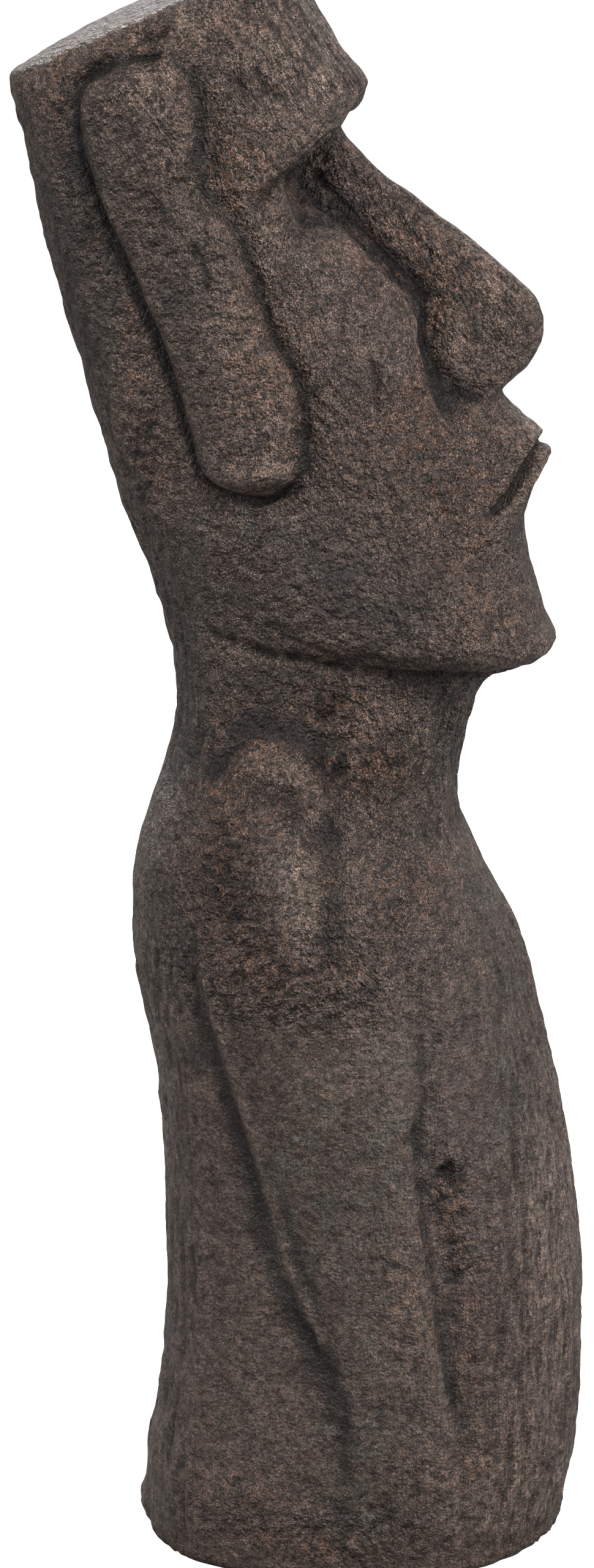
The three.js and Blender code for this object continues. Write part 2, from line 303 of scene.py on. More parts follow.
def distance_from(points, seen=None):
    """Millimetres from a soft curve, negative on one side. It is seen from the side by default."""
    level = forward if seen is None else seen
    curve = soft_curve(points)
    nearest, signed = np.full(len(height), np.inf), np.zeros(len(height))
    for (a, b), (c, d) in zip(curve, curve[1:]):
        length = max((c - a) ** 2 + (d - b) ** 2, 1e-6)
        share = np.clip(((level - a) * (c - a) + (height - b) * (d - b)) / length, 0, 1)
        gap = np.hypot(level - a - share * (c - a), height - b - share * (d - b))
        turn = np.sign((c - a) * (height - b) - (d - b) * (level - a))
        signed = np.where(gap < nearest, turn * gap, signed)
        nearest = np.minimum(nearest, gap)
    return signed


def near_curve(points, width, seen=None):
    """1 on a curve, falling to nearly 0 at width away from it."""
    return np.exp(-(distance_from(points, seen) / width * LINE_FALL) ** 2)


def rough(width, low=0.0, high=1.0, seed=0):
    """A noise from low to high whose spots are about width millimetres wide."""
    values = np.array([
        noise.fractal(Vector((x / width + seed, f / width, h / width)), *FRACTAL)
        for x, f, h in zip(across, forward, height)])
    return low + (high - low) * np.clip(0.5 + values, 0, 1)


# %% [markdown]
# ## Seams
#
# At the bottom of a groove runs a dark line, partly dirt and partly painted shade, that is thinner
# than the mesh can hold. So the mesh only remembers how far each vertex is from the line. That
# number changes evenly between two vertices, and the material can draw a sharp line where it
# passes through zero.

# %% Remember thin lines
SEAM_REACH = 10  # millimetres from a thin line at which it is forgotten
SEAM_FULL, SEAM_GONE = 2.5, 5  # its depth is kept in full up to the first, gone after the second
LEAST_SEAM = 0.02  # a line that is weaker than this is left out

seam_gap = np.full(len(height), float(SEAM_REACH))
seam_depth = np.zeros(len(height))


def draw_seam(points, depth, seen=None):
    """Remembers a thin line for the material."""
    gap = distance_from(points, seen)
    share = depth * (1 - step(np.abs(gap), SEAM_FULL, SEAM_GONE))
    closer = (np.abs(gap) < np.abs(seam_gap)) & (share > LEAST_SEAM)
    seam_gap[closer] = gap[closer]
    seam_depth[closer] = np.broadcast_to(share, gap.shape)[closer]


# %% [markdown]
# ## Grooves and ridges
#
# The lines go by their names on the figure. First come the ear, the arm, the jaw, the brow, the
# nose and the lips, then the boss of the shoulder with the collar and the hollows round it. The
# shoulder is set back before the boss is raised, so that the boss stays inside the form's box.

# %% Lines of the figure, as forward and height, or as across and height on the lips
EAR_REAR = [(-60, 752), (-85, 747), (-99, 733), (-97, 699), (-76, 649), (-61, 614), (-50, 579),
            (-45, 561), (-37, 547), (-22, 538), (-7, 537), (5, 543)]
EAR_TIP = [(-44, 742), (-40, 722), (-42, 702), (-48, 692)]
EAR_FRONT = [(-20, 660), (-7, 625), (8, 592), (11, 568), (9, 553), (5, 543)]
LOBE = [(-36, 560), (-32, 552), (-14, 548), (0, 551)]
ARM_FRONT = [(68, 232), (70, 205), (74, 172), (82, 119), (87, 90)]
ARM_REAR = [(-38, 312), (-27, 275), (-17, 240), (-6, 202), (6, 160), (23, 122)]
BEHIND_ARM = [(f - 10, h) for f, h in ARM_REAR]
JAW_LINE = [(92, 445), (60, 449), (25, 454), (-5, 459), (-36, 467)]
BROW_LINE = [(21, 711), (5, 696), (-12, 681)]
NOSE_LINE = [(12, 688), (37, 661), (58, 642), (64, 630), (66, 610), (71, 597), (80, 587), (92, 582)]
NOSE_WING = [(78, 617), (83, 603)]
MOUTH_LINE = [(0, 557), (10, 555.5), (20, 548.5), (32, 535.5), (41, 526.5)]
LOWER_LIP = [(0, 552.5), (10, 551), (21, 543.5), (33, 531), (42, 523)]
BOSS = [(-8, 378), (-1, 360), (5, 344), (8, 328)]
COLLAR = [(-16, 409), (-4, 403), (8, 398), (16, 388)]
NECK_HOLLOW = [(-34, 404), (-18, 424), (6, 420), (28, 402)]
BEHIND_BOSS = [(-30, 372), (-22, 345), (-4, 310)]
BEFORE_BOSS = [(22, 378), (30, 352), (26, 318)]

# %% Carve the grooves and raise the ridges
broken = rough(9, 0.35, 1.25, seed=3)
often_broken = np.clip(broken, 0, 1)
on_head_side = step(side, 40, 60)
at_mouth = step(forward, 60, 80)
beside_nose = 1 - step(side, 48, 60)
below_brow = step(side, 12, 25)
around_boss = np.exp(-((forward - 2) / 42) ** 2 - ((height - 350) / 40) ** 2) * step(side, 60, 90)

for name, weight, depth in [
        ("groove behind the ear", near_curve(EAR_REAR, 4) * on_head_side, 3),
        ("fullness of the lobe", near_curve(LOBE, 9) * on_head_side, -2.6),
        ("tip of the ear", near_curve(EAR_TIP, 5) * on_head_side, 1.4),
        ("groove before the ear", near_curve(EAR_FRONT, 3.6) * on_head_side * broken, 1.2),
        ("groove before the arm", near_curve(ARM_FRONT, 4) * often_broken, 2.2),
        ("rim behind the arm", near_curve(ARM_REAR, 6), -2.8),
        ("hollow behind the rim", near_curve(BEHIND_ARM, 9), 1.3),
        ("under the jaw", near_curve(JAW_LINE, 5) * often_broken, 3.2),
        ("under the brow", near_curve(BROW_LINE, 5) * below_brow, 3.0),
        ("beside the nose", near_curve(NOSE_LINE, 4) * beside_nose, 3.0),
        ("wing of the nose", near_curve(NOSE_WING, 13) * within(side, 14, 34, 6), -4),
        ("between the lips", near_curve(MOUTH_LINE, 3.2, seen=side) * at_mouth, 2.2),
        ("lower lip", near_curve(LOWER_LIP, 3.4, seen=side) * at_mouth, -2.0),
        ("shoulder round the boss", around_boss, 4.3),
        ("boss of the shoulder", near_curve(BOSS, 18), -4.2),
        ("ridge of the collar", near_curve(COLLAR, 10), -4),
        ("hollow of the neck", near_curve(NECK_HOLLOW, 12), 3),
        ("hollow behind the boss", near_curve(BEHIND_BOSS, 14), 2.4),
        ("hollow before the boss", near_curve(BEFORE_BOSS, 15), 3)]:
    carve(name, weight, depth)

# Thin dark lines of dirt and painted shade: under the jaw and the brow, beside the nose, between the
# lips and in the grooves of the ear and the arm.
for line, depth, seen in [
        (EAR_REAR, 0.7 * on_head_side * broken, None), (EAR_FRONT, 0.25 * on_head_side * broken, None),
        (ARM_FRONT, 0.35 * broken, None), (BEHIND_ARM, 0.1 * broken, None),
        (JAW_LINE, 0.4 * broken, None), (BROW_LINE, 0.4 * below_brow, None),
        (NOSE_LINE, 0.8 * beside_nose * broken, None), (MOUTH_LINE, 0.8 * at_mouth, side)]:
    draw_seam(line, depth, seen)

# %% [markdown]
# ## Strokes of tool and brush
#
# Before the cast was made, its surface was dragged with a stiff brush and a rasp: down the body,
# down the nape, along the slope of the forehead and along the bridge of the nose. A stroke is a
# noise that is squeezed across its run and drawn out along it, so one function serves all
# directions, and a soft mask keeps each direction to its own place.

# %% Strokes
STROKE_WIDTH = 4.5  # millimetres across the run
NAPE_SLOPE = -0.30  # how far the nape leans forward for each millimetre up


def strokes(slope, length, seed):
    """Noise drawn out along a direction of the side view, given in degrees from level."""
    run = (math.cos(math.radians(slope)), math.sin(math.radians(slope)))
    values = []
    for x, f, h in zip(across, forward, height):
        along, over = f * run[0] + h * run[1], h * run[0] - f * run[1]
        values.append(noise.noise(
            Vector((along / length + seed, over / STROKE_WIDTH, x / STROKE_WIDTH))))
    return np.clip(0.5 + np.array(values), 0, 1)


on_body = 1 - step(height, 300, 350)
at_edges = np.maximum(step(forward, 92, 122), 1 - step(forward, -62, -38))
down_body = on_body * (0.35 + 0.65 * at_edges)
nape = NAPE_SLOPE * (height - 430)
down_nape = within(height, 400, 780, 20) * (1 - step(forward, nape - 50, nape - 30))
on_throat = within(height, 370, 445, 10) * step(forward, 60, 78)
upright = np.clip(down_body + down_nape + on_throat, 0, 1)
on_forehead = step(height, 716, 735) * step(forward, -40, 5)
on_ear_top = within(forward, -105, -55, 8) * within(height, 680, 745, 10)
slanted = np.clip(on_forehead + 0.8 * on_ear_top, 0, 1)
on_bridge = within(height, 612, 705, 12) * step(forward, 15, 40) * (1 - step(side, 24, 34))

carve("strokes down the body", strokes(90, 30, seed=1) * upright, 2.0)
carve("strokes on the forehead", strokes(-56, 26, seed=2) * slanted, 2.0)
carve("strokes along the nose", strokes(-40, 24, seed=4) * on_bridge, 1.8)

# %% [markdown]
# ## Chips, pits and cracks
#
# A cast picks up air holes, and an old stone loses flakes. A pit is a round dent, a crack a
# short crooked line, and a torn patch a coarse lump noise under a soft spot. The ones that
# catch the eye are placed one by one, and small ones are strewn over the body with a fixed
# seed, so that every run gives the same stone.

# %% Torn patches
def spot(f, h, half_length, half_height):
    """1 in the middle of a soft oval on both sides of the figure, given in millimetres."""
    return np.exp(-((forward - f) / half_length) ** 2 - ((height - h) / half_height) ** 2)


def spots(*places):
    """Several spots together, each with a strength as its fifth number."""
    left = np.ones(len(height))
    for f, h, half_length, half_height, strength in places:
        left *= 1 - strength * spot(f, h, half_length, half_height)
    return 1 - left


torn = spots(
    (-6, 306, 38, 18, 1.0), (28, 300, 24, 12, 0.9), (-26, 350, 18, 36, 0.9),  # below the shoulder
    (24, 432, 12, 12, 1.0), (50, 402, 20, 14, 1.0), (26, 408, 14, 8, 0.6),  # on the neck
    (18, 670, 14, 7, 0.8), (75, 612, 7, 24, 0.6), (60, 645, 16, 10, 0.8),  # beside the nose
    (20, 690, 12, 10, 0.7),  # below the brow
    (85, 205, 9, 14, 0.9), (90, 168, 8, 16, 0.5),  # beside the groove of the arm
    (-68, 565, 8, 25, 0.8), (-95, 672, 7, 16, 0.7), (5, 30, 60, 12, 0.5))  # nape and foot
carve("torn patches", rough(4.5, -0.2, 1.2, seed=7) * torn, 2.6)

# %% Pits
PITS = [  # forward, height, radius, depth
    (82, 208, 5.5, 3.2), (88, 203, 3.5, 2.5), (90, 185, 3, 2.4), (86, 135, 2.6, 1.6),
    (79, 213, 3, -1.5), (-18, 770, 7, 2.4), (-25, 737, 3.5, 1.6), (-46, 653, 3.2, 1.2),
    (78, 274, 3, 1.2), (51, 242, 2.6, 1.2), (36, 28, 3, 1.0), (-18, 8, 3, 1.2),
    (100, 100, 2.6, 1.0), (104, 62, 2.6, 1.0)]
SMALL_PITS, SMALL_PIT_DEPTH = 420, 1.1
BODY_TOP, SHARE_ABOVE = 340, 0.25  # above the body only a quarter of the small pits is kept

off_middle = step(side, 20, 40)
for number, (f, h, radius, depth) in enumerate(PITS):
    carve(f"pit {number}", spot(f, h, radius, radius) * off_middle, depth)

scatter = np.random.default_rng(12)
pitted = np.zeros(len(height))
for centre in scatter.choice(len(height), SMALL_PITS, replace=False):
    if scatter.random() > (1 if height[centre] < BODY_TOP else SHARE_ABOVE):
        continue
    radius = scatter.uniform(1.6, 3.4)
    distance = ((across - across[centre]) ** 2 + (forward - forward[centre]) ** 2
                + (height - height[centre]) ** 2)
    pitted = np.maximum(pitted, np.exp(-distance / radius ** 2) * scatter.uniform(0.4, 1))
carve("small pits", pitted, SMALL_PIT_DEPTH)
carve("nub at the heel", spot(-77, 9, 5, 5) * (1 - off_middle), -3)

# %% Cracks
CRACKS = [  # start, direction in degrees, length, width, depth
    ((-72, 755), 30, 20, 3.2, 1.6), ((6, 670), -12, 20, 2.6, 1.6), ((42, 603), -88, 20, 2.8, 1.3),
    ((-24, 742), -50, 12, 2.6, 1.2), ((66, 636), 2, 24, 2.6, 0.8), ((48, 168), -30, 22, 2.6, 0.8),
    ((-2, 470), -8, 60, 3, 0.7), ((-12, 32), -12, 36, 3, 1.1), ((28, 22), -30, 26, 2.8, 1.0),
    ((-42, 662), -70, 22, 3, 1.2), ((20, 330), -40, 16, 2.6, 0.9), ((-14, 745), -60, 18, 2.8, 1.0),
    ((10, 780), -58, 20, 3, 1.2), ((70, 240), -84, 26, 2.6, 0.9), ((-46, 160), -80, 30, 2.8, 0.8)]
CRACK_PARTS, CRACK_BEND, CRACK_SEAM = 5, 0.5, 0.35  # straight parts, radians, share of the dark line of soot and painted shade
# The crack at (10, 780) lies just off the sloping crown and carves nothing. It stays in the list
# because the bends of the two cracks after it are drawn after its own.

on_flank = step(side, 15, 35)
for number, ((f, h), slope, length, width, depth) in enumerate(CRACKS):
    points = [(f, h)]
    for _ in range(CRACK_PARTS):
        bend = math.radians(slope) + scatter.uniform(-CRACK_BEND, CRACK_BEND)
        f += length / CRACK_PARTS * math.cos(bend)
        h += length / CRACK_PARTS * math.sin(bend)
        points.append((f, h))
    carve(f"crack {number}", near_curve(points, width) * on_flank, depth)
    draw_seam(points, CRACK_SEAM * on_flank)

# %% [markdown]
# ## The foot
#
# The carving moved the rim and the underside too. The underside is pressed flat again by
# scaling it to nothing in height about the floor, which also lifts what hangs below it.

# %% Press the underside flat
FOOT = 0.3  # millimetres up to which a vertex belongs to the underside

foot_before = height < FOOT
height_now = read_places(moai)[2]
only(moai)
bpy.ops.object.mode_set(mode="EDIT")
bpy.ops.mesh.select_mode(type="VERT")
bpy.ops.mesh.select_all(action="DESELECT")
bpy.ops.object.mode_set(mode="OBJECT")
for index in np.flatnonzero(foot_before | (height_now < 0)):
    moai.data.vertices[int(index)].select = True
bpy.ops.object.mode_set(mode="EDIT")
bpy.ops.transform.resize(value=(1, 1, 0), center_override=(0, 0, 0))
bpy.ops.object.mode_set(mode="OBJECT")
across, forward, height = read_places(moai)
side = np.abs(across)
print("lowest", height.min(), "mm, widest", np.ptp(across), "mm, deepest", np.ptp(forward), "mm")

# %% [markdown]
# ## Where dirt settles, edges wear, and shade and highlights are painted
#
# Dark glaze stays in hollows and is rubbed off the ridges, and on top of that the hollows get
# painted shade and the crests a painted highlight. To know which is which, the mesh is smoothed in
# a copy of its coordinates: where a vertex lies below its smoothed place it is in a hollow, and
# where it lies above, on a crest. A few rounds of smoothing show grit and cracks, and many rounds
# show grooves and folds. The answer is stored as attributes for the material.

# %% Measure hollows and crests
FINE_ROUNDS, BROAD_ROUNDS = 6, 90
FINE_DEPTH, BROAD_DEPTH = 0.45, 4  # millimetres below its smoothed place for a full hollow
FINE_RISE, BROAD_RISE = 0.3, 1.6  # millimetres above it for a full crest


def store(name, values):
    """Keeps one number for each vertex, which an Attribute node of the material can read."""
    attribute = moai.data.attributes.new(name=name, type="FLOAT", domain="POINT")
    attribute.data.foreach_set("value", np.clip(values, 0, 1).astype(np.float32))


edges = np.empty(len(moai.data.edges) * 2, dtype=np.int32)
moai.data.edges.foreach_get("vertices", edges)
first, second = edges.reshape(-1, 2).T
count = len(moai.data.vertices)
neighbours = np.bincount(first, minlength=count) + np.bincount(second, minlength=count)
normals = np.empty(count * 3)
moai.data.vertex_normals.foreach_get("vector", normals)
normals = normals.reshape(-1, 3)
places = read_vertices(moai)


def sunken(rounds):
    """How deep each vertex lies below its place on a smoothed copy, in millimetres."""
    values = places
    for _ in range(rounds):
        total = np.stack([
            np.bincount(first, values[second, k], count)
            + np.bincount(second, values[first, k], count) for k in range(3)], axis=1)
        values = 0.5 * values + 0.5 * total / neighbours[:, None]
    return ((values - places) * normals).sum(axis=1)


fine, broad = sunken(FINE_ROUNDS), sunken(BROAD_ROUNDS)
# The hollow share darkens with soot and painted shade; the crest share lightens with rubbed wear and a
# painted highlight.
store("hollow", np.clip(fine / FINE_DEPTH, 0, 1) * 0.6 + np.clip(broad / BROAD_DEPTH, 0, 1) * 0.45)
store("crest", np.clip(-fine / FINE_RISE, 0, 1) * 0.6 + np.clip(-broad / BROAD_RISE, 0, 1) * 0.5)
print("fine hollows", fine.std(), "broad hollows", broad.std())

# %% Store the masks of seams, strokes and gloss
HANDLED = [(0, 362), (7, 344), (10, 324)]  # the part of the boss that hands have polished

store("seam", 0.5 + 0.5 * seam_gap / SEAM_REACH)
store("seam_depth", seam_depth)
store("torn", torn)
store("polish", np.maximum(near_curve(HANDLED, 13), 0.5 * spot(74, 606, 7, 8)))
store("wrinkled", 0.25 + 0.45 * step(height, 300, 340) + 0.4 * torn + 0.3 * at_edges)
store("upright", upright)
store("slanted", np.clip(slanted + on_bridge, 0, 1))

# %% [markdown]
# ## Patina
#
# The stone is painted in thin coats: dark umber, a cool violet grey, grey green rubbed down the
# grooves, and rust where the grit shows through. The coats lie in patches with no hard edge.
# Each patch is a soft oval on the side of the figure, and a noise frays it, so it doesn't read
# as an oval, and keeps the far side from being a mirror image.

# %% Patches of rust, green and violet
rust = spots(
    (59, 647, 18, 14, 0.8), (72, 615, 6, 22, 0.9), (-22, 681, 14, 10, 0.5), (-15, 590, 20, 40, 0.6),
    (60, 560, 35, 35, 0.5), (85, 520, 22, 25, 0.5), (100, 478, 22, 14, 0.5), (-22, 700, 22, 16, 0.5),
    (-30, 765, 24, 9, 0.5), (-85, 757, 34, 9, 0.6), (-112, 735, 12, 14, 0.9), (-75, 600, 7, 36, 0.6),
    (-62, 556, 9, 14, 0.9), (-92, 660, 6, 26, 0.5), (40, 655, 18, 10, 0.5), (80, 640, 14, 12, 0.5),
    (22, 434, 24, 12, 0.8), (42, 405, 24, 10, 0.8), (0, 420, 40, 16, 0.5),  # from here on the body
    (-26, 385, 22, 24, 0.7), (-32, 345, 18, 26, 0.6), (-6, 316, 28, 14, 0.8), (30, 312, 24, 8, 0.6),
    (58, 345, 30, 15, 0.5), (70, 140, 12, 30, 0.4), (96, 125, 9, 42, 0.5), (84, 190, 9, 16, 0.5),
    (-12, 45, 30, 12, 0.5), (95, 58, 30, 12, 0.4), (20, 18, 32, 8, 0.6), (60, 150, 7, 26, 0.4))
green = spots(
    (-4, 755, 14, 18, 0.5), (-95, 695, 8, 28, 0.7), (-85, 625, 8, 70, 0.5), (-40, 690, 6, 30, 0.6),
    (-47, 515, 8, 26, 0.9), (-10, 524, 24, 9, 0.5), (76, 412, 12, 24, 0.8), (-52, 440, 12, 40, 0.7),
    (18, 215, 26, 85, 0.5), (50, 110, 34, 60, 0.35),  # the whole arm
    (38, 345, 12, 14, 0.6), (20, 345, 8, 30, 0.3), (50, 250, 8, 55, 0.6), (62, 240, 14, 50, 0.5),
    (47, 105, 9, 66, 0.9), (8, 190, 18, 60, 0.6), (32, 80, 12, 40, 0.5), (-60, 300, 10, 38, 0.6),
    (28, 215, 28, 28, 0.4), (112, 215, 14, 36, 0.4), (108, 265, 8, 28, 0.6),
    (105, 40, 30, 12, 0.5), (-20, 110, 14, 20, 0.5))
violet = spots(
    (30, 150, 220, 150, 0.5), (60, 230, 60, 60, 0.3),  # the whole body
    (28, 645, 34, 22, 0.8), (20, 500, 60, 18, 0.6), (45, 610, 24, 20, 0.5), (5, 735, 20, 16, 0.4),
    (60, 320, 20, 18, 0.5), (30, 180, 24, 60, 0.5), (118, 150, 18, 80, 0.6), (-40, 150, 24, 80, 0.4))

# %% Pale places of wear and painted highlights, dark places of patina and painted shade
# Most pale spots are painted highlights: glints on the boss, the nose wing, the forehead and the ridge
# of the nose, and a painted rim of light along the front edge of the body. A few are rubbed wear.
pale = spots(
    (-66, 735, 16, 16, 0.4), (-68, 742, 15, 9, 0.5), (-44, 766, 14, 8, 0.5), (14, 742, 13, 18, 0.6),
    (-6, 752, 18, 20, 0.5), (12, 700, 8, 10, 0.3), (-4, 665, 12, 7, 0.6), (18, 650, 20, 9, 0.4),
    (85, 665, 14, 12, 0.5), (98, 628, 15, 15, 0.6), (74, 606, 6, 8, 1.0), (-35, 611, 9, 24, 0.4),
    (-9, 560, 10, 16, 0.3), (-5, 570, 8, 20, 0.3), (115, 562, 12, 9, 0.4), (5, 527, 5, 5, 0.8),
    (-2, 402, 15, 6, 0.7), (6, 366, 7, 10, 0.5), (12, 341, 9, 19, 1.0), (16, 340, 6, 12, 0.6),
    (-62, 300, 8, 22, 0.4), (-62, 230, 9, 80, 0.5), (-70, 30, 10, 30, 0.6), (32, 262, 20, 24, 0.3),
    (50, 109, 16, 40, 0.35), (128, 170, 9, 66, 0.8), (134, 140, 9, 60, 0.9), (120, 60, 12, 40, 0.5),
    (122, 34, 20, 26, 0.8), (100, 28, 24, 10, 0.5))
# A painted highlight along the rim behind the arm and on the lower lip.
pale = np.maximum(pale, 0.7 * near_curve(ARM_REAR, 4))
pale = np.maximum(pale, 0.6 * near_curve(LOWER_LIP, 3, seen=side) * at_mouth)
# The dark spots are mostly painted shade, under the jaw, the brow and the nose wing, behind the ear,
# on the nape and the back of the shoulder, with some dark patina.
dark = spots(
    (-50, 635, 11, 28, 0.8), (-39, 581, 7, 26, 0.8), (-52, 600, 6, 50, 0.5), (-70, 700, 6, 40, 0.3),
    (18, 669, 16, 8, 0.7), (12, 698, 14, 10, 0.7), (84, 583, 10, 7, 0.7), (30, 590, 20, 18, 0.3),
    (50, 500, 46, 34, 0.5), (70, 548, 30, 24, 0.4), (52, 552, 18, 18, 0.3), (42, 490, 40, 22, 0.7),
    (-8, 540, 16, 6, 0.4), (70, 446, 30, 8, 0.6), (-10, 444, 50, 9, 0.7),
    (-112, 660, 18, 70, 0.8), (-95, 650, 9, 60, 0.5), (-94, 650, 14, 60, 0.8),  # the nape
    (-70, 470, 20, 40, 0.5), (-45, 400, 22, 36, 0.5), (-46, 342, 22, 40, 0.7),  # and the shoulder
    (60, 330, 30, 22, 0.3), (92, 307, 25, 25, 0.4), (102, 240, 20, 60, 0.3), (101, 134, 10, 40, 0.4),
    (-18, 200, 20, 40, 0.25))

# %% Fray and store the patches
frayed = rough(14, 0.5, 1.7, seed=11)
for name, patch in [
        ("rust", rust), ("green", green), ("violet", violet), ("pale", pale), ("dark", dark)]:
    store(name, patch * frayed)
on_head = step(height, 270, 330) * (1 - 0.5 * down_nape)
store("grit", 0.60 + 0.40 * on_head + 0.3 * torn + 0.2 * rust)
print("patches stored:", [a.name for a in moai.data.attributes if a.data_type == "FLOAT"])

# %% [markdown]
# ## The stone
#
# The material mixes the coats in the order in which they lie. Coordinates are Object, so the
# grit sits on the stone from every side, and they are turned into millimetres first, so that
# the scale of each noise can be read as one over the width of its spots. A node is added and
# linked in two lines of code, so a few helpers with the names of what they do keep it readable.

# %% Node helpers
stone = bpy.data.materials.new("carved_stone")
stone.use_nodes = True
nodes, links = stone.node_tree.nodes, stone.node_tree.links  # the tree the helpers work in
shader = nodes["Principled BSDF"]


def put(node, socket, value):
    """Links a socket or sets a plain value."""
    if isinstance(value, bpy.types.NodeSocket):
        links.new(value, node.inputs[socket])
    else:
        node.inputs[socket].default_value = value


def stored(name):
    """Reads back a number that was stored on the vertices."""
    node = nodes.new("ShaderNodeAttribute")
    node.attribute_name = name
    return node.outputs["Fac"]


def calculate(operation, a, b=0.0, clamp=False):
    """One Math node."""
    node = nodes.new("ShaderNodeMath")
    node.operation, node.use_clamp = operation, clamp
    put(node, 0, a)
    put(node, 1, b)
    return node.outputs[0]


def times(a, b, clamp=False):
    """a times b."""
    return calculate("MULTIPLY", a, b, clamp)


def plus(a, b):
    """a and b together."""
    return calculate("ADD", a, b)


def minus(a, b, clamp=False):
    """a less b."""
    return calculate("SUBTRACT", a, b, clamp)


def lay(coat, share, under):
    """Lays a coat of colour over what is under it."""
    node = nodes.new("ShaderNodeMix")
    node.data_type = "RGBA"
    put(node, 0, share)
    put(node, 6, under)
    put(node, 7, coat)
    return node.outputs[2]


def tone(colour, factor):
    """Makes a colour darker or lighter."""
    node = nodes.new("ShaderNodeMix")
    node.data_type, node.blend_type = "RGBA", "MULTIPLY"
    grey = nodes.new("ShaderNodeCombineColor")
    for channel in range(3):
        put(grey, channel, factor)
    put(node, 0, 1.0)
    put(node, 6, colour)
    put(node, 7, grey.outputs[0])
    return node.outputs[2]


def span(value, low, high, to_low=0.0, to_high=1.0):
    """Maps low..high to to_low..to_high and stops at both ends."""
    node = nodes.new("ShaderNodeMapRange")
    for socket, number in enumerate((value, low, high, to_low, to_high)):
        put(node, socket, number)
    return node.outputs[0]


# %% Noises and their coordinates
def spots_of(width, detail=2.0, roughness=0.5, coordinates=None):
    """A noise with spots of a width in millimetres."""
    node = nodes.new("ShaderNodeTexNoise")
    put(node, "Vector", coordinates or millimetres)
    put(node, "Scale", 1 / width)
    put(node, "Detail", detail)
    put(node, "Roughness", roughness)
    return node.outputs[0]


def stretched(run, width, length):
    """Coordinates drawn out along the run of a stroke, turned in the side view."""
    node = nodes.new("ShaderNodeMapping")
    node.vector_type = "TEXTURE"
    put(node, "Vector", millimetres)
    put(node, "Rotation", (math.radians(run), 0, 0))
    put(node, "Scale", (width, width, length))
    return node.outputs[0]


to_millimetres = nodes.new("ShaderNodeMapping")
put(to_millimetres, "Vector", nodes.new("ShaderNodeTexCoord").outputs["Object"])
put(to_millimetres, "Scale", (1 / MM, 1 / MM, 1 / MM))
millimetres = to_millimetres.outputs[0]

# %% [markdown]
# ## Noise for grit, strokes and blotches
#
# Cast stone is never one colour: dust of half a millimetre, grit, sand and blotches lie on top
# of each other. One Noise texture for each size does what a painter does by spattering. For
# brush strokes the coordinates are turned and stretched first, so the round spots become long
# ones. A wrinkle is the thin line along which a noise passes through its middle.

# %% Grit, strokes and blotches
dust = spots_of(0.7, detail=3, roughness=0.65)
grit = spots_of(1.5, detail=3, roughness=0.65)
sand = spots_of(3.2, detail=5, roughness=0.75)
blotches = spots_of(9, detail=4, roughness=0.6)
clouds_of_paint = spots_of(32, detail=3)
upright_strokes = spots_of(1, detail=3, roughness=0.6, coordinates=stretched(0, 1.3, 11))
slanted_strokes = spots_of(1, detail=3, roughness=0.6, coordinates=stretched(-34, 1.3, 10))
stroke_share = times(stored("upright"), 0.85)
slant_share = stored("slanted")
grit_amount = stored("grit")

# %% Lines of seams and wrinkles
LINE_FULL, LINE_GONE = 0.4, 1.8  # millimetres from the middle of a seam
LINE_FRAY = 0.7  # millimetres by which the grit moves its edge
WRINKLE_FULL, WRINKLE_GONE = 0.002, 0.016  # steps of the noise from its middle

from_seam = times(calculate("ABSOLUTE", minus(stored("seam"), 0.5)), 2 * SEAM_REACH)
from_seam = plus(from_seam, span(grit, 0.35, 0.65, -LINE_FRAY, LINE_FRAY))
seam_line = times(span(from_seam, LINE_FULL, LINE_GONE, 1, 0), stored("seam_depth"))

from_wrinkle = calculate("ABSOLUTE", minus(spots_of(6, detail=4, roughness=0.6), 0.5))
wrinkle_places = span(spots_of(15, detail=2), 0.47, 0.56, 0.12, 1.0)
wrinkles = times(span(from_wrinkle, WRINKLE_FULL, WRINKLE_GONE, 1, 0),
                 times(wrinkle_places, stored("wrinkled")))

# %% [markdown]
# ## Coats of paint
#
# The colours are dark, because the stone reflects only a few hundredths of the light: umber and
# a warm grey lie in clouds as wide as a hand, then come the violet grey, the grey green, the
# rust and the pale places, which are rubbed wear and painted highlights, each held back by its own
# patches and broken by a noise. A little green and rust lies everywhere.

# %% Coats of paint
UMBER = (0.029, 0.0178, 0.0135, 1)
WARM_GREY = (0.072, 0.0452, 0.0350, 1)
VIOLET_GREY = (0.062, 0.0422, 0.0415, 1)
GREY_GREEN = (0.047, 0.050, 0.042, 1)
RUST = (0.175, 0.078, 0.042, 1)
# This pale colour is rubbed wear and also painted highlights and glints.
PALE_AND_HIGHLIGHT = (0.225, 0.160, 0.126, 1)
# This near black is soot and also painted shade: it darkens black grains, hollows, seams, wrinkles and
# the dark places.
SOOT_AND_SHADE = (0.008, 0.0055, 0.0050, 1)
GREEN_EVERYWHERE, RUST_EVERYWHERE = 0.10, 0.12

green_share = plus(stored("green"), GREEN_EVERYWHERE)
rust_share = plus(stored("rust"), RUST_EVERYWHERE)
colour = lay(WARM_GREY, span(clouds_of_paint, 0.40, 0.57), UMBER)
colour = lay(VIOLET_GREY, times(stored("violet"), span(blotches, 0.32, 0.48)), colour)
colour = lay(GREY_GREEN, times(green_share, span(blotches, 0.38, 0.54), clamp=True), colour)
colour = lay(RUST, times(rust_share, span(sand, 0.44, 0.60), clamp=True), colour)
# Pale places: rubbed wear, and painted highlights, glints and rim light.
colour = lay(PALE_AND_HIGHLIGHT, times(stored("pale"), span(sand, 0.40, 0.58, 0.20, 0.85)), colour)

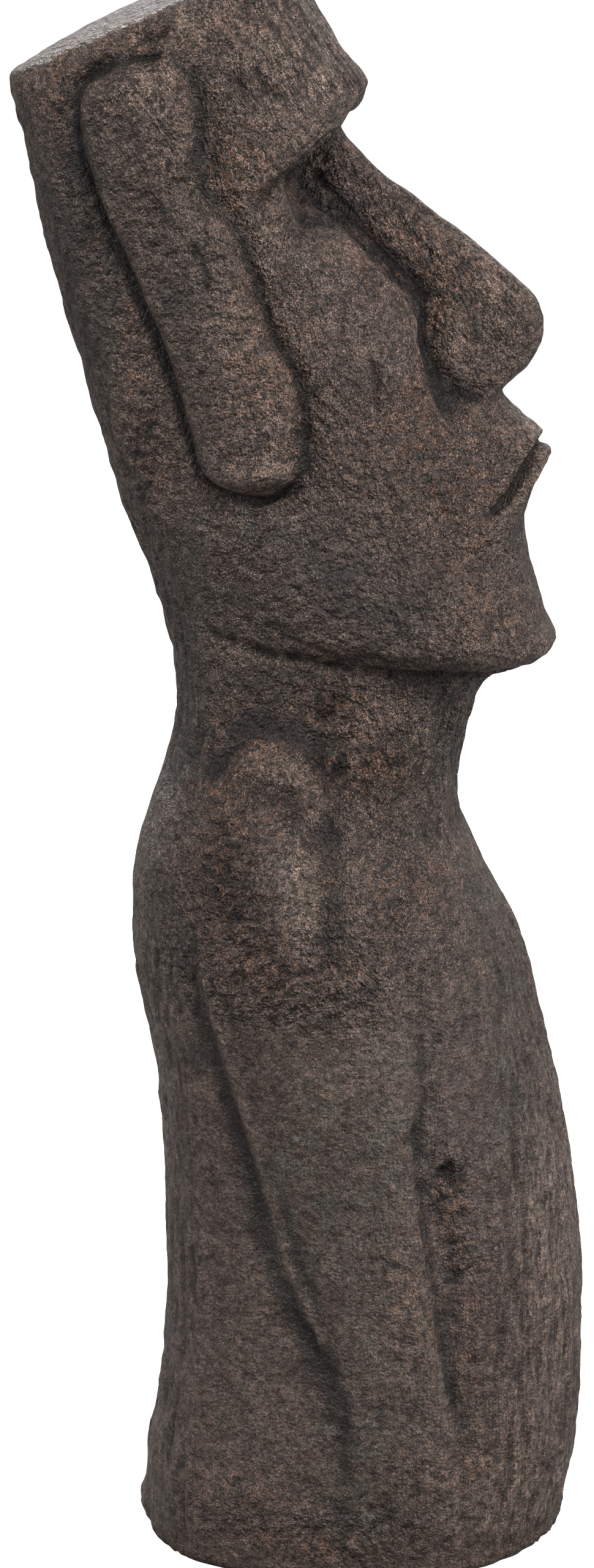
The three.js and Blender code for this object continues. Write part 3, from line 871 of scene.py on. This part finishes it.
# %% [markdown]
# ## Contrast
#
# On the coats come the grains: black ones, pale ones that also stand as painted glints, and a
# change of tone by dust, sand and blotches. Strokes darken and lighten along their run. Crests are
# rubbed pale and get a painted highlight, hollows and seams keep their soot and get painted shade.
# A last coat of soot and painted shade deepens the places that are dark on the whole.

# %% Grains and changes of tone
TONES = [  # noise, the two marks on it, the tone at the one and at the other, share
    (dust, 0.455, 0.545, 0.20, 1.80, grit_amount),
    (sand, 0.45, 0.55, 0.68, 1.32, grit_amount),
    (blotches, 0.38, 0.62, 0.68, 1.28, 1.0),
    (upright_strokes, 0.38, 0.62, 0.45, 1.65, stroke_share),
    (slanted_strokes, 0.38, 0.62, 0.35, 1.85, slant_share)]

colour = lay(SOOT_AND_SHADE, times(span(grit, 0.43, 0.39), times(grit_amount, 0.8)), colour)
# Pale flecks on the dust: light grains that also stand as painted glints.
colour = lay(PALE_AND_HIGHLIGHT, times(span(dust, 0.54, 0.62), times(grit_amount, 0.6)), colour)
for pattern, low, high, dark_tone, light_tone, share in TONES:
    colour = lay(tone(colour, span(pattern, low, high, dark_tone, light_tone)), share, colour)

# %% Rubbed crests with a painted highlight, soot with painted shade
# Crests: rubbed wear and a painted highlight.
colour = lay(PALE_AND_HIGHLIGHT, times(stored("crest"), span(sand, 0.44, 0.60, 0.04, 0.40)), colour)
# Soot and painted shade in hollows and seams, soot in the wrinkles, and mostly painted shade in the
# dark places.
for share in (times(stored("hollow"), 0.95), times(seam_line, 0.8), times(wrinkles, 0.75),
              times(stored("dark"), span(blotches, 0.38, 0.60, 0.25, 0.75))):
    colour = lay(SOOT_AND_SHADE, share, colour)
put(shader, "Base Color", colour)

# %% [markdown]
# ## Gloss and fine relief
#
# The glaze is half matt and changes from grain to grain, and the shoulder and the nose are
# polished by hands. Relief wider than a few millimetres is in the mesh. Only what is finer than
# the mesh, such as lumps of grit and hair lines, is left to a Bump node. The lumps are coarsest
# in the torn patches, form a crust on the head and are worn down where it is polished.

# %% Gloss
SPECULAR = 0.5
gloss = minus(span(sand, 0.44, 0.58, 0.55, 0.34), times(stored("pale"), 0.16))
gloss = minus(gloss, times(stored("polish"), 0.22))
put(shader, "Roughness", gloss)
put(shader, "Specular IOR Level", SPECULAR)

# %% Fine relief
BUMP_DEPTH = 2.6  # millimetres

lumps = spots_of(6, detail=3, roughness=0.55)
crust = times(stored("wrinkled"), minus(stored("grit"), 0.58, clamp=True))
coarse = plus(plus(times(stored("torn"), 3.0), times(grit_amount, 1.8)), times(crust, 4.5))
coarse = times(coarse, minus(1, times(stored("polish"), 0.6)))
relief = times(grit, times(grit_amount, 0.45))
for raised in (times(lumps, coarse), times(upright_strokes, times(stroke_share, 0.8)),
               times(slanted_strokes, times(slant_share, 0.8))):
    relief = plus(relief, raised)
for sunk in (times(seam_line, 0.6), times(wrinkles, 0.35)):
    relief = minus(relief, sunk)
bump = nodes.new("ShaderNodeBump")
put(bump, "Strength", 1.0)
put(bump, "Distance", BUMP_DEPTH * MM)
put(bump, "Height", relief)
put(shader, "Normal", bump.outputs[0])

# %% Dress the figure
moai.data.materials.clear()
moai.data.materials.append(stone)
only(moai)
bpy.ops.object.shade_smooth()
print("stone:", len(nodes), "nodes")

# %% [markdown]
# ## The floor
#
# The figure stands on white paper. Paper as bright as this would also throw a grey veil on a
# dark, half glossy stone, so it is white only for the eye, and dim for the light that falls
# from it on the figure. The Light Path node tells the two apart.

# %% Floor
FLOOR_WIDTH = 60  # metres
PAPER_WHITE, PAPER_DIM = (0.9, 0.9, 0.9, 1), (0.22, 0.22, 0.22, 1)
PAPER_MATT, PAPER_GLOW = 0.9, 0.8

bpy.ops.mesh.primitive_plane_add(size=FLOOR_WIDTH, location=(0, 0, 0))
floor = bpy.context.object
floor.name = "floor"
paper = bpy.data.materials.new("floor_paper")
paper.use_nodes = True
nodes, links = paper.node_tree.nodes, paper.node_tree.links  # the helpers go on to the paper
white = nodes["Principled BSDF"]
put(white, "Base Color", PAPER_WHITE)
put(white, "Roughness", PAPER_MATT)
put(white, "Emission Color", (1, 1, 1, 1))
put(white, "Emission Strength", PAPER_GLOW)
dim = nodes.new("ShaderNodeBsdfDiffuse")
put(dim, "Color", PAPER_DIM)
either = nodes.new("ShaderNodeMixShader")
put(either, 0, nodes.new("ShaderNodeLightPath").outputs["Is Camera Ray"])
put(either, 1, dim.outputs[0])
put(either, 2, white.outputs[0])
put(nodes["Material Output"], 0, either.outputs[0])
floor.data.materials.append(paper)
print("floor:", floor.dimensions.x, "m wide")

# %% [markdown]
# ## The camera
#
# The figure is seen from its right side, five degrees towards its front, from a little above,
# and from nearly three metres away, so that the perspective is calm. The lens is chosen so that
# the figure fills the tall frame.

# %% Camera
CAMERA_DISTANCE, CAMERA_HEIGHT, CAMERA_TURN = 2.9, 1.0, math.radians(5)
TARGET = Vector((0, BOX_MIDDLE * MM, 0.38068))
LENS, SENSOR = 135.667, 36

camera_data = bpy.data.cameras.new("camera")
camera = bpy.data.objects.new("camera", camera_data)
bpy.context.collection.objects.link(camera)
camera.location = (
    -CAMERA_DISTANCE * math.cos(CAMERA_TURN),
    -CAMERA_DISTANCE * math.sin(CAMERA_TURN) + BOX_MIDDLE * MM,
    CAMERA_HEIGHT)
camera.rotation_euler = (TARGET - camera.location).to_track_quat("-Z", "Y").to_euler()
camera_data.lens = LENS
camera_data.sensor_width = SENSOR
camera_data.dof.use_dof = False
bpy.context.scene.camera = camera
print("camera:", (TARGET - camera.location).length, "m from what it looks at")

# %% [markdown]
# ## The light
#
# A high key lamp draws the brow, the nose and the jaw with soft shadows beneath them. Soft boxes
# in front and behind light the edges, a small one before the shoulder makes the polished places
# glint, and one on the far side keeps the back from going black. The world is white to the eye
# and shines mostly from the far side, which leaves a thin bright rim on the stone.

# %% World
NEAR_GLOW, FAR_GLOW = 0.03, 0.6  # strength of the sky on the camera's side and on the far side
GLOW_START, GLOW_END = -0.9, 0.4  # it rises between these two directions along X

world = bpy.data.worlds.new("studio")
bpy.context.scene.world = world
world.use_nodes = True
nodes, links = world.node_tree.nodes, world.node_tree.links  # the helpers go on to the sky
split = nodes.new("ShaderNodeSeparateXYZ")
put(split, 0, nodes.new("ShaderNodeTexCoord").outputs["Generated"])
glow = span(split.outputs["X"], GLOW_START, GLOW_END, NEAR_GLOW, FAR_GLOW)
glow = calculate("MAXIMUM", glow, nodes.new("ShaderNodeLightPath").outputs["Is Camera Ray"])
put(nodes["Background"], "Strength", glow)
put(nodes["Background"], "Color", (1, 1, 1, 1))

# %% Lamps
LAMPS = [  # name, place and width in metres, power in watts
    ("key", (-1.5, -0.6, 2.6), 0.5, 48),
    ("glint", (-1.95, -1.0, 0.95), 0.25, 11),
    ("front", (-0.2, -2.4, 1.1), 0.8, 26),
    ("back", (-0.6, 2.4, 1.3), 1.0, 24),
    ("far side", (2.0, 0.5, 2.2), 1.0, 45)]
LIT_PLACE = Vector((0, 0, 0.42))

for name, place, width, power in LAMPS:
    data = bpy.data.lights.new(name, "AREA")
    data.shape, data.size, data.energy = "SQUARE", width, power
    lamp = bpy.data.objects.new(name, data)
    bpy.context.collection.objects.link(lamp)
    lamp.location = place
    lamp.rotation_euler = (LIT_PLACE - Vector(place)).to_track_quat("-Z", "Y").to_euler()
bpy.context.scene.view_settings.view_transform = "Standard"
print("lamps:", ", ".join(name for name, *_ in LAMPS))
